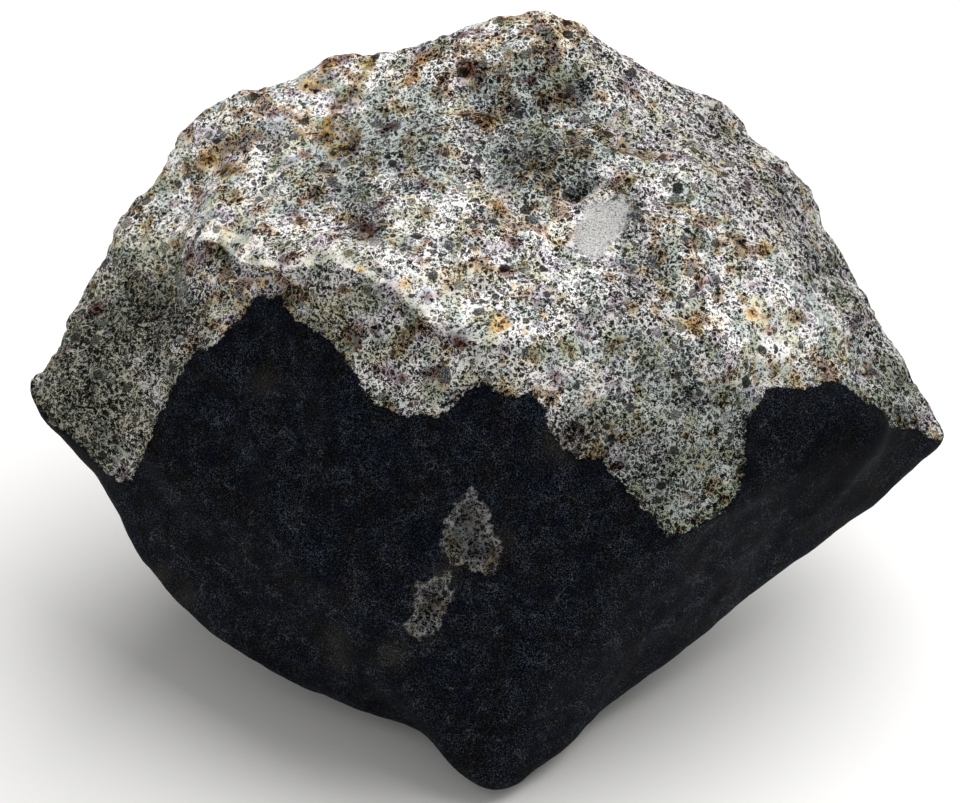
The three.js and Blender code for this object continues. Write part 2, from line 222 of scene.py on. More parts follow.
stainsAndPaintedLight = dict(                  # soft spots on the break, each (across, up, radius, strength): stains of colour, then painted shade and painted light
    rust=[
        (-1.4, 15.1, 0.7, 0.9), (4.1, 2.2, 0.7, 1.0), (21.4, 5.7, 0.5, 1.2), (17.7, 10.2, 0.9, 0.9),
        (15.3, 13.0, 0.6, 0.8), (14.2, 13.9, 0.6, 0.9), (-7.8, 16.5, 0.7, 0.8), (-18.3, 6.4, 1.3, 0.6),
        (-20.8, 3.9, 1.0, 0.5), (-14.8, 8.8, 0.7, 0.9), (5.1, 26.1, 1.6, 0.8), (1.5, 25.2, 1.5, 0.6),
        (-1.2, 24.1, 1.3, 0.6), (-3.2, 23.4, 1.4, 0.5), (-11.0, 17.6, 1.4, 0.5), (3.3, 14.6, 1.6, 0.6),
        (-0.8, 9.6, 1.5, 0.4), (23.2, 2.2, 1.0, 0.7), (27.0, 2.2, 0.7, 0.9), (15.6, 7.6, 1.5, 0.5),
        (13.0, -0.6, 1.6, 0.2), (-3.5, 2.8, 1.6, 0.5), (-17.5, 17.5, 1.5, 0.4), (-9.5, 5.0, 1.6, 0.4),
        (-17.0, 18.0, 5.0, 0.25), (-9.0, 21.5, 4.0, 0.25), (3.5, 26.0, 2.5, 0.3),
        (-17.0, 7.5, 2.5, 0.25), (-16.0, 21.5, 2.5, 0.3), (-8.0, 24.5, 2.5, 0.4), (-2.5, 25.5, 2.0, 0.4),
        (-11.8, 14.9, 1.9, 0.5), (-8.5, 11.7, 0.9, 0.8), (8.5, 4.5, 4.5, -0.4), (6.5, 8.8, 2.2, -0.7),
        (24.5, 6.0, 4.0, -0.4), (29.0, 0.0, 2.6, -1.0), (-11.5, 11.6, 2.2, -0.5), (17.0, 1.4, 3.0, -0.5),
        (15.2, 17.6, 3.0, -0.4), (-2.5, 12.4, 3.0, -0.3), (-12.5, 19.5, 2.2, -0.3),
        (-6.8, 17.6, 3.0, -0.4), (-5.0, 1.6, 2.4, -0.4), (-14.6, 15.2, 1.6, -0.4), (6.2, 18.5, 0.7, 0.8),
        (11.1, 16.5, 0.8, 0.7), (14.1, 9.7, 0.7, 0.8), (16.0, 6.7, 0.8, 0.8), (18.4, 6.4, 0.6, 0.7),
        (20.2, 5.0, 0.5, 0.9), (16.9, 1.8, 0.5, 1.0), (10.8, 0.3, 0.6, 0.9), (24.3, 2.7, 0.5, 1.2),
        (9.5, -2.5, 0.6, 0.9), (-19.0, 16.6, 1.8, 0.3), (19.5, 7.6, 2.6, -0.4), (-12.3, 7.0, 1.6, 0.4),
        (-27.0, -1.0, 5.5, -1.0), (13.5, -6.0, 3.4, -0.9),
    ],
    ochre=[
        (-8.2, 23.3, 0.7, 0.7), (-5.7, 22.5, 0.9, 0.6), (19.5, 10.7, 0.7, 0.7), (-9.6, 19.0, 0.8, 0.6),
        (-10.6, 17.6, 0.9, 0.9), (0.5, 14.0, 1.4, 0.5), (3.2, 16.8, 1.6, 0.6), (5.4, 21.9, 1.1, 0.6),
        (0.6, 5.3, 0.8, 0.55), (14.0, 5.6, 1.2, 0.6), (15.6, -3.8, 1.0, 0.5), (12.5, -3.6, 0.8, 0.4),
        (-15.8, 8.3, 0.7, 0.9), (-5.7, 8.2, 0.6, 0.8), (18.6, 6.0, 1.4, 0.5), (22.0, 0.6, 1.0, 0.7),
        (11.0, 9.0, 1.0, 0.5), (-13.5, 5.0, 1.2, 0.4), (9.5, 18.2, 0.9, 0.7), (-19.4, 8.6, 1.4, 0.4),
        (-12.4, 22.5, 0.8, 0.8), (-10.9, 23.1, 0.6, 0.7), (-19.5, 16.9, 0.8, 0.8),
        (-18.0, 16.2, 0.7, 0.7), (-11.3, 19.2, 0.7, 0.8), (-4.5, 23.6, 0.8, 0.6), (21.6, 1.8, 0.6, 0.8),
        (-9.5, 9.9, 0.4, 1.0), (-8.7, 9.1, 0.35, 1.0), (0.2, 19.4, 1.2, 0.6), (0.9, 5.6, 0.7, 0.8),
    ],
    maroon=[
        (18.1, 14.1, 1.0, 0.8), (-26.7, 6.4, 1.5, 0.6), (-18.1, 10.2, 1.0, 0.9), (-1.2, 23.2, 1.2, 0.6),
        (3.4, 24.2, 1.6, 0.4), (-8.5, 11.6, 0.8, 1.0), (14.0, 8.6, 1.2, 0.5), (-2.5, 3.2, 1.4, 0.4),
        (-9.0, 4.6, 1.6, 0.4), (12.2, 1.0, 1.2, 0.5),
    ],
    teal=[
        (3.4, 21.0, 3.5, 0.6), (-4.3, 17.2, 2.6, 0.6), (-9.8, 15.0, 2.4, 0.4), (6.8, 17.6, 2.2, 0.5),
        (14.0, 11.5, 2.0, 0.4), (12.5, 0.5, 2.6, 0.5), (12.5, -6.0, 4.0, 1.6), (16.5, -2.5, 2.4, 0.8),
        (29.0, 0.2, 1.8, 0.6), (23.0, 9.0, 3.0, 0.4), (1.5, 17.5, 2.5, 0.5), (24.5, 7.5, 3.0, 0.2),
        (-7.2, 19.2, 2.6, 0.9), (-11.0, 17.2, 1.2, 0.6), (10.0, 3.6, 3.0, 0.4), (10.0, 13.4, 1.4, 0.8),
        (28.0, 1.6, 2.6, 0.8), (17.0, -0.6, 2.2, 0.5), (4.6, 16.6, 2.2, 0.6),
    ],
    olive=[                     # greenish grey, like dried mud
        (-28.0, 0.0, 5.5, 1.5), (-23.5, 8.0, 3.5, 0.8), (-11.0, 5.5, 3.0, 0.7), (6.5, -2.3, 1.8, 1.0),
        (14.0, -6.5, 3.0, 0.4), (-3.5, 0.8, 2.5, 0.6), (-25.5, 14.0, 3.0, 0.5), (11.0, -0.6, 2.0, 0.5),
        (29.0, 1.2, 1.5, 0.5),
    ],
    # painted shade, where the light falls off: faces turned from it, hollows and pits
    shade=[
        (-23.2, 7.1, 2.6, 0.5), (-24.2, 8.6, 1.3, 0.2), (-21.5, 5.7, 2.2, 0.4), (-27.4, -0.6, 5.0, 0.7),
        (-26.4, 5.2, 2.4, 0.6), (-24.0, 5.6, 3.4, 0.3), (-4.3, 17.2, 2.4, 0.3), (2.2, 17.6, 2.2, 0.5),
        (1.6, 15.6, 1.6, 0.45), (-10.8, 15.5, 2.0, 0.4), (-7.8, 18.9, 2.3, 0.35), (-8.5, 13.6, 1.3, 0.4),
        (-8.4, 11.7, 1.3, 0.7), (-0.6, 18.8, 1.8, 0.35), (4.6, 16.4, 2.2, 0.4), (6.9, 16.3, 1.6, 0.35),
        (10.1, 13.3, 1.0, 0.8), (11.2, 11.0, 1.7, 0.35), (10.3, 7.9, 2.2, 0.65), (9.4, 4.8, 1.6, 0.3),
        (11.9, 4.2, 1.8, 0.3), (15.0, 0.6, 1.8, 0.2), (17.0, -2.0, 2.0, 0.4), (3.2, 12.6, 1.1, 0.3),
        (13.4, 1.0, 2.2, 0.4), (16.6, 0.8, 1.8, 0.25), (13.4, -5.8, 2.4, 0.3), (5.8, -2.4, 1.4, 0.4),
        (23.6, 1.4, 1.6, 0.3), (6.0, 21.9, 1.8, 0.5), (9.6, 18.6, 1.6, 0.3), (-27.5, 0.5, 5.0, 0.15),
        (-18.2, 9.9, 0.8, 0.5), (9.7, 15.6, 1.4, 0.1), (-29.6, 3.4, 2.2, 0.45), (16.8, 11.4, 2.0, 0.15),
        (-0.2, 8.8, 1.4, 0.25), (23.6, 8.0, 1.6, 0.15), (16.3, 19.5, 2.4, 0.4), (20.9, 13.0, 1.6, 0.35),
        (29.2, -0.8, 2.6, 0.6), (10.8, -4.4, 2.2, 0.35), (20.9, 14.1, 1.6, 0.4), (20.2, 15.8, 0.9, 0.5),
        (23.3, 9.5, 2.6, 0.45), (25.4, 5.0, 2.2, 0.3), (-13.1, 6.0, 2.0, 0.2), (-9.2, 6.0, 2.0, 0.2),
        (-11.0, 3.6, 1.5, 0.15), (-7.8, 3.9, 1.8, 0.2), (-5.4, 2.0, 2.4, 0.15), (7.9, -2.0, 2.4, 0.4),
        (13.5, -5.5, 4.0, 0.3), (6.2, -2.2, 1.6, 0.7), (3.5, 17.0, 1.4, 0.3), (-8.8, 13.0, 2.4, 0.15),
        (26.8, 2.2, 1.2, 0.2), (-16.0, 13.5, 2.0, 0.15), (6.1, 14.5, 0.45, 1.2), (6.7, 14.9, 0.35, 0.7),
        (7.9, 15.0, 0.35, 0.5), (8.8, 15.0, 0.35, 0.5), (9.8, 14.7, 0.35, 0.5), (15.6, 11.0, 3.0, 0.2),
        (17.0, 15.0, 2.0, 0.2), (24.0, -5.0, 5.0, 0.7),
    ],
    # painted light, mostly on faces and rims turned to the light
    paintedLight=[
        (17.7, 7.1, 3.6, 0.2), (21.9, 3.6, 2.6, 0.3), (25.1, 2.0, 1.6, 0.4), (14.9, 11.3, 2.0, 0.25),
        (19.1, 4.3, 2.5, 0.25), (0.4, 6.4, 2.2, 0.3), (-13.2, 21.4, 2.2, 0.3), (-8.5, 21.2, 2.4, 0.2),
        (-20.5, 15.5, 2.4, 0.2), (6.8, 8.9, 1.6, 0.3), (-14.4, 11.6, 1.6, 0.3), (20.0, 17.0, 0.8, 0.7),
        (-30.6, 1.9, 0.5, 0.8), (5.5, 1.5, 1.2, 0.2), (-27.2, 8.0, 0.6, 0.4), (-27.0, 6.8, 0.5, 0.4),
        (-15.9, 8.4, 0.6, 1.2), (-14.0, 8.6, 1.4, 0.7), (-8.6, 7.6, 1.2, 0.6), (1.6, 5.0, 1.6, 0.5),
        (-0.5, 5.4, 1.4, 0.5), (-4.6, 7.6, 1.6, 1.1), (-2.2, 6.2, 1.3, 0.5), (-8.0, 8.8, 0.5, 1.0),
        (-7.1, 8.4, 0.6, 1.2), (17.5, 3.4, 2.2, 0.35), (20.5, 2.9, 2.0, 0.35), (22.6, 6.7, 1.4, 0.5),
        (9.3, -0.6, 1.6, 0.3), (-20.5, 13.2, 2.4, 0.3), (-6.3, 12.8, 3.2, 0.25), (14.4, 14.4, 1.2, 0.4),
        (17.0, 12.0, 1.2, 0.4), (-14.0, 18.5, 5.5, 0.35), (20.0, 5.0, 4.0, 0.3), (-17.0, 11.6, 2.5, 0.5),
        (2.6, 11.8, 2.0, 0.4), (-6.0, 9.4, 2.0, 0.35), (2.5, 5.2, 2.6, 0.35), (6.0, 3.0, 2.0, 0.5),
        (-11.6, 22.9, 1.8, 0.9), (-18.9, 16.7, 1.8, 0.4), (-11.5, 19.2, 1.4, 0.6),
        (-25.6, 11.6, 1.6, 0.4), (10.6, 13.8, 0.5, 0.3), (21.5, 5.4, 2.6, 0.2), (-22.0, 11.4, 2.0, 0.35),
    ],
)
browLine = [                    # the lower edge of the bright brow across the left
    (-22.6, 12.0), (-20.8, 11.5), (-19.2, 11.0), (-18.4, 10.7), (-17.7, 10.1), (-17.1, 9.6),
    (-16.2, 9.3), (-12.8, 9.2), (-10.6, 9.4), (-9.5, 9.0), (-8.3, 8.5), (-6.3, 7.7), (-5.7, 7.1),
    (-4.4, 5.8), (-3.3, 4.9), (-1.9, 4.3), (0.2, 3.9), (2.3, 3.9),
]
browBranch = [(-19.2, 11.5), (-17.3, 11.3), (-15.8, 11.0)]      # a short branch above it


def modified(piece):
    # the piece's modifiers applied, its attributes kept
    graph = bpy.context.evaluated_depsgraph_get()
    piece.data = bpy.data.meshes.new_from_object(piece.evaluated_get(graph))
    piece.modifiers.clear()


def stoneBase(name):
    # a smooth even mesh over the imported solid, fine enough to carve
    bm = bmesh.new()
    bm.from_mesh(frame["nodes"][name].data)
    bmesh.ops.remove_doubles(bm, verts=bm.verts, dist=0.001 * mm)
    mesh = bpy.data.meshes.new("brokenStone")
    bm.to_mesh(mesh)
    bm.free()
    mesh.materials.clear()
    piece = bpy.data.objects.new("brokenStone", mesh)
    bpy.context.scene.collection.objects.link(piece)
    rounding = piece.modifiers.new("rounding", "SUBSURF")
    rounding.levels = rounding.render_levels = 1
    even = piece.modifiers.new("even", "REMESH")
    even.mode = "VOXEL"
    even.voxel_size = stone["voxel"] * mm
    modified(piece)
    return piece


def stoneFields(points, normals):
    # what each point of the surface is: crust or rock, how it is stained, and where shade and light are
    # painted on it
    across, up, _ = seenPlaces(points)
    seen = np.stack([across, up], 1)
    facing = normals @ towardsCamera()
    front = smooth(-0.12, 0.12, facing)

    # the crust's edge in front and behind, each closed far outside the stone
    belowFront = stone["frontEdge"] + [(60, -3), (60, -60), (-60, -60), (-60, 1)]
    belowBack = stone["backEdge"] + [(60, 17), (60, -60), (-60, -60), (-60, 20)]
    wander = lumpy(points, stone["edgeWander"], 31.0)
    frontCrust = depthInLoop(seen, belowFront) + wander * stone["frontWander"]
    backCrust = depthInLoop(points[:, [0, 2]], belowBack) + wander
    crust = frontCrust * front + backCrust * (1 - front)

    farOut = -5                 # mm, for what faces away from the camera
    chip = np.max([depthInLoop(seen, loop) for loop in stone["chips"]], axis=0)
    chip = np.where(facing > 0, chip, farOut) + lumpy(points, stone["chipWander"], 11.0)
    # painted highlight along the brow and its branch
    highlight, reach = stone["browGlow"]
    fields = dict(
        crust=crust,
        chip=chip,
        clast=np.where(facing > 0, depthInLoop(seen, stone["clast"]), farOut),
        scuff=spotField(across, up, stone["scuffs"]) * front,
        brow=highlight * besideLine(seen, browLine, reach) * front,
        flank=smooth(-0.6, 0.8, depthInLoop(seen, stone["flank"])) * front,
        hollow=smooth(-0.3, 0.7, depthInLoop(seen, stone["hollow"])) * front,
    )
    for name, spots in stainsAndPaintedLight.items():
        fields[name] = spotField(across, up, spots) * front
    highlight, reach = stone["branchGlow"]
    fields["brow"] += highlight * np.exp(-(distanceToPath(seen, browBranch) / reach) ** 2) * front
    # painted shade below the brow, on the flank and in the hollow
    dark, reach = stone["browShade"]
    fields["shade"] += dark * besideLine(seen, browLine, -reach) * front
    fields["shade"] += stone["flankShade"] * fields["flank"] + stone["hollowShade"] * fields["hollow"]
    fields["teal"] += stone["hollowTeal"] * fields["hollow"] + stone["flankTeal"] * fields["flank"]
    fields["rust"] += stone["flankRust"] * fields["flank"]
    outside = np.minimum(crust, 0)
    amount, reach = stone["edgeRust"]
    fields["rust"] += amount * np.exp(outside / reach)
    # painted shade in the rock along the crust's edge
    amount, reach = stone["edgeShade"]
    fields["shade"] += amount * np.exp(outside / reach) * (crust < reach)
    return fields, seen, facing


def carve(piece):
    # moves the surface in and out along its normals, in mm
    mesh = piece.data
    count = len(mesh.vertices)
    points, normals = np.empty(count * 3), np.empty(count * 3)
    mesh.vertices.foreach_get("co", points)
    mesh.vertices.foreach_get("normal", normals)
    points, normals = points.reshape(-1, 3) / mm, normals.reshape(-1, 3)
    fields, seen, facing = stoneFields(points, normals)
    across, up = seen[:, 0], seen[:, 1]
    bare = np.maximum(smooth(0.15, -0.25, fields["crust"]), smooth(-0.2, 0.25, fields["chip"]))
    rough = bare * (1 - stone["clastSmooth"] * smooth(-0.3, 0.4, fields["clast"]))

    # the right flank's lumps are drawn out into streaks
    run, streaked = np.array(stone["flankRun"]), fields["flank"]
    stretched = points - (seen @ run * stone["flankStretch"])[:, None] * np.array((run[0], 0, run[1]))
    rock = lumpy(points, stone["rock"], 3.0) * (1 - streaked)
    rock += lumpy(stretched, stone["rock"], 3.0) * streaked
    height = rock * rough + lumpy(points, stone["crust"], 17.0) * (1 - bare) + stone["grown"]
    height -= stone["crustStep"] * bare * np.exp(np.minimum(fields["crust"], 0) / stone["edgeFade"])
    height += spotField(across, up, stone["swells"])
    height -= stone["chipDepth"] * smooth(-0.2, 0.4, fields["chip"])
    height -= stone["clastDepth"] * smooth(-0.2, 1.2, fields["clast"])
    height -= stone["hollowDepth"] * fields["hollow"]

    seenFront = smooth(0.0, 0.2, facing)
    for x, y, radius, depth in stone["pits"]:
        height -= depth * np.exp(-(((across - x) ** 2 + (up - y) ** 2) / radius ** 2) ** 1.5) * seenFront
    for path, half, depth in stone["grooves"]:
        height -= depth * np.exp(-(distanceToPath(seen, path) / half) ** 2) * seenFront
    for path, rise, reach in stone["ledges"]:
        height += rise * besideLine(seen, path, reach) * seenFront

    # the foot stays flat
    onFoot = points[:, 2] < 0.03
    points += normals * height[:, None]
    points[:, 2] = np.where(onFoot, 0, np.maximum(points[:, 2], 0.02))
    mesh.vertices.foreach_set("co", (points * mm).ravel())
    for name in ("crust", "chip", "clast", "scuff", "brow", "flank", *stainsAndPaintedLight):
        mesh.attributes.new(name, "FLOAT", "POINT").data.foreach_set("value", fields[name])
    mesh.polygons.foreach_set("use_smooth", [True] * len(mesh.polygons))
    mesh.update()
    return fields


piece = stoneBase("meteorite")
surfaceFields = carve(piece)
print("stone carved:", len(piece.data.polygons), "squares")


chondrules = dict(             # round beads that stand a little proud of the break
    count=700,
    sizes=[(0.42, 0.62), (0.50, 0.30), (0.85, 0.08)],   # common diameters in mm, and their share
    spread=(0.8, 1.25),         # each bead's diameter over the common one
    placed=[                    # those that catch the eye: across, up, diameter in mm, tone
        (-2.9, 1.8, 1.25, 0.0), (-0.7, 6.2, 1.25, 0.12), (3.2, 12.7, 1.25, 0.25),
        (-2.6, 10.9, 1.35, 0.3), (10.5, 13.0, 1.1, 0.15), (11.6, 10.0, 1.0, 0.05),
        (13.7, 11.6, 0.8, 0.1), (13.7, 2.5, 0.95, 0.05), (-11.3, 16.5, 0.9, 0.3), (7.4, 19.3, 0.7, 0.1),
        (6.3, 17.9, 0.7, 0.05), (-8.5, 11.6, 1.3, 0.95),
    ],
    proud=(0.03, 0.25),         # share of a bead's radius that stands out
    placedProud=0.3,            # and of those placed
    tries=3,                    # places drawn for each one kept
    clear=dict(crust=0.35, clast=0.4, foot=1.0),        # mm that they keep away from each
    stretch=(0.85, 1.15),       # how far from round they are
    colours=[(0.0, "1e2326"), (0.4, "33393d"), (0.7, "4c5053"), (0.85, "66625c"), (1.0, "4a3524")],
    dust="a4a5a5",              # the break's dust on them
)


def scatterChondrules(rock, fields):
    # faces of the bare rock that hold a bead, the largest beads first, none touching another
    rng = np.random.default_rng(5)
    mesh, clear = rock.data, chondrules["clear"]
    count = len(mesh.polygons)
    areas, normals = np.empty(count), np.empty(count * 3)
    centres = np.empty(count * 3)
    mesh.polygons.foreach_get("area", areas)
    mesh.polygons.foreach_get("normal", normals)
    mesh.polygons.foreach_get("center", centres)
    normals, centres = normals.reshape(-1, 3), centres.reshape(-1, 3) / mm
    first = np.array([p.vertices[0] for p in mesh.polygons])        # one corner of each face
    bare = (fields["crust"][first] < -clear["crust"]) & (fields["clast"][first] < -clear["clast"])
    bare &= centres[:, 2] > clear["foot"]
    weights = areas * bare
    picked = rng.choice(count, chondrules["count"] * chondrules["tries"], p=weights / weights.sum())
    sizes, shares = np.array(chondrules["sizes"]).T
    diameters = rng.choice(sizes, len(picked), p=shares) * rng.uniform(*chondrules["spread"], len(picked))
    tones = rng.uniform(0, 1, len(picked))
    across, up, _ = seenPlaces(centres)
    facing = normals @ towardsCamera()
    chosen = []
    for x, y, diameter, tone in chondrules["placed"]:
        nearest = np.argmin((across - x) ** 2 + (up - y) ** 2 + 100 * (facing < 0))
        chosen.append((nearest, diameter, tone, chondrules["placedProud"]))
    order = np.argsort(-diameters)
    chosen += [(picked[i], diameters[i], tones[i], rng.uniform(*chondrules["proud"])) for i in order]
    kept, places = [], np.empty((0, 3))
    for face, diameter, tone, proud in chosen:
        if len(kept) == chondrules["count"]:
            break
        gaps = np.linalg.norm(places - centres[face], axis=1)
        if (gaps < np.array([k[1] for k in kept]) / 2 + diameter / 2).any():
            continue
        kept.append((face, diameter, tone, proud))
        places = np.vstack([places, centres[face]])
    return kept, centres, normals


def makeChondrules(rock, fields):
    kept, centres, normals = scatterChondrules(rock, fields)
    rng = np.random.default_rng(8)
    bm = bmesh.new()
    toneLayer = bm.verts.layers.float.new("tone")
    for face, diameter, tone, proud in kept:
        stretch = Matrix.Diagonal(rng.uniform(*chondrules["stretch"], 3)).to_4x4()
        turn = Matrix.Rotation(rng.uniform(0, 6.28), 4, Vector(rng.normal(size=3)))
        middle = centres[face] - normals[face] * diameter / 2 * (1 - proud)
        placed = Matrix.Translation(middle * mm) @ turn @ stretch
        ball = bmesh.ops.create_icosphere(bm, subdivisions=2, radius=diameter * mm / 2, matrix=placed)
        for vert in ball["verts"]:
            vert[toneLayer] = tone
    for face in bm.faces:
        face.smooth = True
    mesh = bpy.data.meshes.new("chondrules")
    bm.to_mesh(mesh)
    bm.free()
    scattered = bpy.data.objects.new("chondrules", mesh)
    bpy.context.scene.collection.objects.link(scattered)
    return scattered


grains = makeChondrules(piece, surfaceFields)
print("chondrules made:", len(grains.data.polygons), "triangles")
thinned = piece.modifiers.new("thinned", "DECIMATE")
thinned.ratio = stone["kept"]
modified(piece)
print("stone thinned:", sum(len(face.vertices) - 2 for face in piece.data.polygons), "triangles")


def linear(hexColour):
    # an sRGB hex colour turned linear
    parts = [int(hexColour[i:i + 2], 16) / 255 for i in (0, 2, 4)]
    return [p / 12.92 if p <= 0.04045 else ((p + 0.055) / 1.055) ** 2.4 for p in parts] + [1]


def addNode(tree, kind, inputs=(), out=0, **settings):
    # one node: what feeds its inputs (sockets, numbers or hex colours), the output wanted, and its settings;
    # a Mix node's inputs are 0 for the share, 2 and 3 for numbers, and 6 and 7 for colours
    made = tree.nodes.new("ShaderNode" + kind)
    for i, (at, colour) in enumerate(settings.pop("stops", [])):
        ramp = made.color_ramp.elements
        stop = ramp[i] if i < 2 else ramp.new(at)
        stop.position, stop.color = at, linear(colour)
    for name, value in settings.items():
        setattr(made, name, value)
    for name, value in inputs.items() if isinstance(inputs, dict) else enumerate(inputs):
        if isinstance(value, bpy.types.NodeSocket):
            tree.links.new(value, made.inputs[name])
        else:
            made.inputs[name].default_value = linear(value) if isinstance(value, str) else value
    return None if out is None else made.outputs[out]


brokenRock = dict(              # freshly broken: pale seams round grey grains, dark round chondrules, rust
    grit=0.08,                  # mm, the finest dust, drawn a little coarse so that it shows
    grain=0.2,                  # mm, paler and darker grains
    seam=0.42,                  # mm between the pale seams of the matrix
    seamWidth=0.2,              # half of a seam's width, as a share of that
    swirl=0.5,                  # mm, the swirls that push them out of shape,
    bend=0.3,                   # and how far, mm
    streak=0.32,                # mm across the flank's streaks
    streakStretch=0.85,         # how far they are drawn out
    clump=0.9,                  # mm, paler and darker clumps
    patch=3.6,                  # mm, and broad patches of them
    smallBeads=(0.7, 0.16, 0.36, 0.5),      # mm between them, least and greatest radius as shares of that,
    largeBeads=(1.5, 0.15, 0.3, 0.5),       # and the share of the places that hold one
    beadEdge=(-0.07, 0.09),     # mm over which a bead's edge turns dark
    beadRim=0.05,               # mm, its pale rim
    run=0.55,                   # how far the pattern is squeezed along the way square on to the front
    tones=[(0.0, "1a1c1e"), (0.25, "454443"), (0.5, "83807d"), (0.75, "c6c2be"), (1.0, "fefcfa")],
    hue=1.9,                    # mm, soft patches of tint
    tints=[                     # lilac, olive and teal, and how strongly a stain brings each out
        ("e8e3ee", "olive", -0.1), ("e0e0ce", "olive", 0.2), ("d0dad8", "teal", 0.3),
    ],
    rust=1.5,                   # mm, stains round metal grains
    stain=[(0.0, "ffffff"), (0.25, "efe2c8"), (0.5, "c39b6c"), (0.75, "805c3b"), (1.0, "463125")],
    cream="fffcf6",             # the brow
    gold="f2d7a4",              # the ochre stains' paler parts
    maroon="93736a",
    chip="66696a",              # the rock in the crust's chips is darker
    clast=[(0.34, "50504e"), (0.43, "a9a8a7"), (0.62, "cccbca")],
    clastGrain=1 / 9,           # mm
    ragged=0.5,                 # mm, the bays of the edges between rock, crust, chips and clast
    dim=0.45,                   # share of the light that full shade leaves
    roughness=0.85,
)
fusionCrust = dict(             # the melted skin: near black and satin, with a faint net of cracks
    speck=0.09,                 # mm, drawn a little coarse so that it shows
    cloud=1.6,                  # mm, where the specks gather
    patch=2.2,                  # mm, bluer and browner places
    net=2.4,                    # mm between the cracks
    swirl=5 / 7,                # mm, the swirls that bend them
    crack=0.018,                # half of a crack's width, as a share of the gap between them
    hair=1.7,                   # mm, bends of the loose hair lines
    colours=[(0.38, "01030b"), (0.46, "03050c"), (0.53, "030405"), (0.62, "080504")],
    fleck="3b414b",
    # painted glints on the brightest specks
    sparkle="70767f",
    thread="4a4f54",
    scuff="3c3934",
    roughness=0.62,
)


def weighed(tree, total, *parts):
    # a number plus each socket times its weight
    for socket, weight in parts:
        total = addNode(tree, "Math", (socket, weight, total), operation="MULTIPLY_ADD")
    return total


def drawnOut(tree, place):
    # the grain runs long through the stone, square on to its front, so that steep places aren't crowded
    add = partial(addNode, tree)
    along = list(towardsCamera())
    depth = add("VectorMath", (place, along), "Value", operation="DOT_PRODUCT")
    depth = add("Math", (depth, brokenRock["run"] - 1), operation="MULTIPLY")
    return add("VectorMath", (depth, along, place), operation="MULTIPLY_ADD")


def beads(tree, place, tone, grit, layout):
    # round chondrules cut through by the break, darker than the matrix, with a thin pale rim
    add = partial(addNode, tree)
    gap, least, most, share = layout
    distance = add("TexVoronoi", {"Vector": place, "Scale": 1 / gap}, "Distance")
    chance = add("SeparateColor", (distance.node.outputs["Color"],))
    radius = add("MapRange", (chance, 0, 1, least, most))
    depth = add("Math", (radius, distance), operation="SUBTRACT")
    depth = weighed(tree, depth, (grit, 0.2))
    depth = add("Math", (depth, 0.1), operation="SUBTRACT")
    there = add("Math", (chance.node.outputs[1], share), operation="LESS_THAN")
    low, high = (edge / gap for edge in brokenRock["beadEdge"])
    inside = add("MapRange", (depth, low, high, 0, there), interpolation_type="SMOOTHSTEP")
    rimWidth = brokenRock["beadRim"] / gap
    outside = add("Math", (depth, rimWidth), operation="ADD")
    outside = add("Math", (outside,), operation="ABSOLUTE")
    rim = add("MapRange", (outside, rimWidth, 0, 0, there), interpolation_type="SMOOTHSTEP")
    dark = weighed(tree, -0.56, (chance.node.outputs[2], 0.55), (grit, 1.4))
    tone = weighed(tree, tone, (rim, 0.3))
    return add("Mix", {0: inside, 2: tone, 3: dark})


